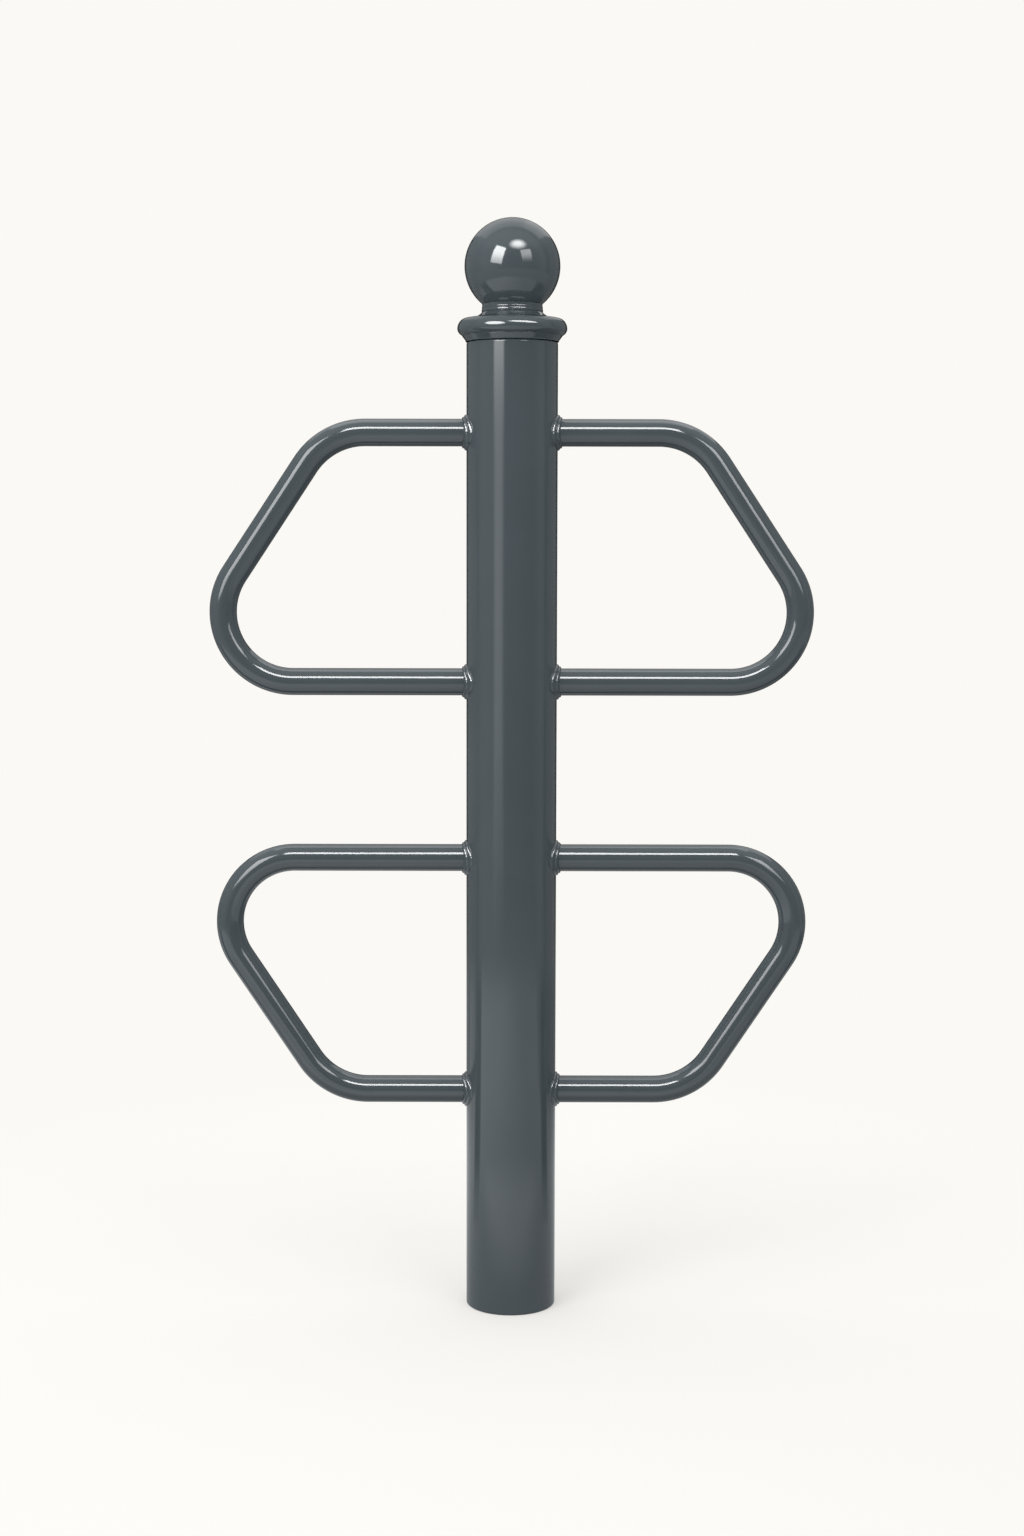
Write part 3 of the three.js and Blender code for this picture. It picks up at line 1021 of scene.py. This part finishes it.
class RACK_OT_ball(Operator):
    """Turns the hollow ball with its seat and the boss for the stud"""

    bl_idname = "rack.ball"
    bl_label = "Finial ball"

    def execute(self, context):
        cap = context.scene.rack_cap
        low, high = BALL_BOX
        radius = high.x
        core = radius - cap.ball_wall
        centre = (0, high.z - radius)
        seat_turn = -math.acos(cap.neck_top / radius)
        root_turn = -math.acos(cap.boss_radius / core)
        outline = [
            *arc(centre, (core, core), math.pi / 2, root_turn, cap.arc_step),
            (cap.boss_radius, low.z + cap.boss_height),
            (cap.stud_hole, low.z + cap.boss_height),
            (cap.stud_hole, low.z),
            *arc(centre, (radius, radius), seat_turn, math.pi / 2, cap.arc_step),
        ]
        ball = turned("turned_ball", outline, cap.facets)
        smooth(ball)
        finished(ball, "ball", powder_coat(), "powder_coat", "finial_ball")
        return {"FINISHED"}


def bend(turn, radius, centre, fall, step):
    """Spins the open end of a pipe round a bend, in edit mode."""
    bpy.ops.mesh.spin(
        steps=math.ceil(turn / step), angle=turn, center=(centre[0], 0, centre[1]), axis=(0, fall, 0)
    )


def straight(run, heading):
    """Draws the open end of a pipe straight on, in edit mode."""
    step = Vector((heading[0], 0, heading[1])) * run
    bpy.ops.mesh.extrude_region_move(TRANSFORM_OT_translate={"value": step})


def bent_pipe(tier, loops, wide):
    """The right side's loop of a tier: short rail, narrow bend, leg, wide bend and long rail."""
    low, high = LOOP_BOXES[tier]
    pipe_radius, reach = high.y, high.x
    rails = rail_heights(tier)
    fall = math.copysign(1, rails["long"] - rails["short"])

    # The leg is the straight line that touches both bends
    narrow = loops.narrow_bend
    wide_centre = (reach - pipe_radius - wide, rails["long"] - fall * wide)
    narrow_height = rails["short"] + fall * narrow
    run = wide - narrow + fall * math.cos(loops.slope) * (narrow_height - wide_centre[1])
    narrow_centre = (wide_centre[0] + run / math.sin(loops.slope), narrow_height)
    leg = Vector(wide_centre) - Vector(narrow_centre)
    leg_length = math.sqrt(leg.length_squared - (wide - narrow) ** 2)

    # It starts inside the post, and is coped to the post's side afterwards
    start = POST_BOX[1].x / 2
    bpy.ops.object.select_all(action="DESELECT")
    bpy.ops.mesh.primitive_circle_add(
        vertices=loops.facets,
        radius=pipe_radius,
        fill_type="NOTHING",
        location=(start, 0, rails["short"]),
        rotation=(0, math.pi / 2, 0),
    )
    pipe = just_added(f"bent_pipe_{tier}_right")
    with edit_mode(pipe):
        bpy.ops.mesh.select_all(action="SELECT")
        straight(narrow_centre[0] - start, (1, 0))
        bend(loops.slope, narrow, narrow_centre, fall, loops.bend_step)
        straight(leg_length, (math.cos(loops.slope), fall * math.sin(loops.slope)))
        bend(math.pi - loops.slope, wide, wide_centre, fall, loops.bend_step)
        straight(wide_centre[0] - start, (-1, 0))
        close_seams()
    apply_modifier(pipe, "SOLIDIFY", thickness=loops.wall, offset=-1, use_even_offset=True)

    bpy.ops.object.select_all(action="DESELECT")
    post_high = POST_BOX[1]
    bpy.ops.mesh.primitive_cylinder_add(
        vertices=bpy.context.scene.rack_post.facets,
        radius=post_high.x,
        depth=post_high.z,
        location=(0, 0, post_high.z / 2),
    )
    cut(pipe, just_added("coping_tool"))
    smooth(pipe)
    return pipe


def copy_turned(piece, name, turn):
    """A copy with its own mesh, turned about the post's axis."""
    copy = piece.copy()
    copy.data = piece.data.copy()
    copy.name = name
    copy.data.name = name
    bpy.context.scene.collection.objects.link(copy)
    copy.data.transform(Matrix.Rotation(turn, 4, "Z"))
    return copy


class RACK_OT_loops(Operator):
    """Bends the four pipe loops and copes them to the post"""

    bl_idname = "rack.loops"
    bl_label = "Loops"

    def execute(self, context):
        loops = context.scene.rack_loops
        for tier, wide in (("upper", loops.upper_bend), ("lower", loops.lower_bend)):
            right = bent_pipe(tier, loops, wide)
            left = copy_turned(right, f"bent_pipe_{tier}_left", SIDES["left"])
            for side, pipe in (("right", right), ("left", left)):
                finished(pipe, "loops", powder_coat(), "powder_coat", f"{tier}_{side}_loop")
        return {"FINISHED"}


# Steps across a weld's face, and facets for each ripple along it
FACE_STEPS = 14
RIPPLE_FACETS = 5

# How the ripples slant across the face, and their slow unevenness: its waves round the rail and its share
RIPPLE_SLANT = 10
UNEVEN_WAVES = 5
UNEVEN_SHARE = 0.5


def fillet_weld(name, welds):
    """A fillet weld of two rippled passes round a rail at height zero, on the right of the post."""
    post_radius = POST_BOX[1].x
    rail_radius = LOOP_BOXES["upper"][1].y
    rail_toe = Vector((post_radius + welds.leg_on_rail, rail_radius))
    post_toe = Vector((post_radius, rail_radius + welds.leg_on_post))
    outwards = Vector((welds.leg_on_post, welds.leg_on_rail)).normalized()
    face = [
        rail_toe.lerp(post_toe, i / FACE_STEPS)
        + outwards * welds.crown * abs(math.sin(FULL_TURN * i / FACE_STEPS))
        for i in range(FACE_STEPS + 1)
    ]
    root = Vector((post_radius - welds.bite, rail_radius - welds.bite))
    bitten_rail_toe = rail_toe - Vector((0, welds.bite))
    bitten_post_toe = post_toe - Vector((welds.bite, 0))
    outline = [root, bitten_rail_toe, *face, bitten_post_toe, root]
    weld = draw_outline(name, [(point.x, 0, point.y) for point in outline])
    spin_round(weld, RIPPLE_FACETS * welds.ripples, (post_radius, 0, 0), (1, 0, 0))

    for point in weld.data.vertices:
        place = point.co
        rise = math.hypot(place.y, place.z)
        if rise > rail_radius - welds.bite / 2:
            # The ripples slant one way on the first pass and the other way on the second
            turn = math.atan2(place.y, place.z)
            slant = RIPPLE_SLANT * abs((rise - rail_radius) / welds.leg_on_post - 0.5)
            uneven = UNEVEN_SHARE * math.sin(UNEVEN_WAVES * turn)
            crest = welds.ripple * (math.cos(welds.ripples * turn + slant) + uneven)
            place.x += crest * outwards.x
            swell = (rise + crest * outwards.y) / rise
            place.y *= swell
            place.z *= swell

        # The fillet spreads where the post curves away from the rail, and lies on the post's round side
        spread = welds.saddle * max(0.0, rise - rail_radius) * place.y * abs(place.y) / rise**2
        place.y += spread
        place.x -= post_radius - math.sqrt(post_radius**2 - place.y**2)
    smooth(weld)
    return weld


class RACK_OT_welds(Operator):
    """Lays a fillet weld round each end of every loop"""

    bl_idname = "rack.welds"
    bl_label = "Welds"

    def execute(self, context):
        pattern = fillet_weld("weld_pattern", context.scene.rack_welds)
        for tier in LOOP_BOXES:
            for rail, height in rail_heights(tier).items():
                for side, turn in SIDES.items():
                    weld = copy_turned(pattern, f"weld_bead_{tier}_{side}_{rail}", turn)
                    weld.data.transform(Matrix.Translation((0, 0, height)))
                    finished(weld, "welds", powder_coat(), "powder_coat", f"weld_{tier}_{side}_{rail}")
        bpy.data.objects.remove(pattern)
        return {"FINISHED"}


class RACK_OT_hardware(Operator):
    """Plates the stud, the washer and the nut inside the cap"""

    bl_idname = "rack.hardware"
    bl_label = "Hidden hardware"

    def execute(self, context):
        for name in ("finial_stud", "finial_washer", "finial_nut"):
            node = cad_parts[name]
            node.data.materials.clear()
            node.data.materials.append(zinc_plate())
        return {"FINISHED"}


# The add-on

STEPS = (
    RACK_OT_stage,
    RACK_OT_post,
    RACK_OT_collar,
    RACK_OT_ball,
    RACK_OT_loops,
    RACK_OT_welds,
    RACK_OT_hardware,
)


class RACK_PT_sidebar(Panel):
    """Lists the rack's pieces and their sizes in the 3D view's sidebar"""

    bl_idname = "RACK_PT_sidebar"
    bl_label = "Bike Rack"
    bl_space_type = "VIEW_3D"
    bl_region_type = "UI"
    bl_category = "Bike Rack"

    def draw(self, context):
        for step in STEPS:
            self.layout.operator(step.bl_idname, text=step.bl_label)
        for name, kind in SETTINGS.items():
            box = self.layout.box()
            box.label(text=kind.__doc__)
            for size in kind.__annotations__:
                box.prop(getattr(context.scene, name), size)


CLASSES = (*SETTINGS.values(), *STEPS, RACK_PT_sidebar)


def register():
    for kind in CLASSES:
        bpy.utils.register_class(kind)
    for name, kind in SETTINGS.items():
        setattr(bpy.types.Scene, name, PointerProperty(type=kind))


def unregister():
    for name in SETTINGS:
        delattr(bpy.types.Scene, name)
    for kind in reversed(CLASSES):
        bpy.utils.unregister_class(kind)


def main():
    register()
    bpy.ops.rack.stage()
    bpy.ops.rack.post()
    bpy.ops.rack.collar()
    bpy.ops.rack.ball()
    bpy.ops.rack.loops()
    bpy.ops.rack.welds()
    bpy.ops.rack.hardware()


if __name__ == "__main__":
    main()
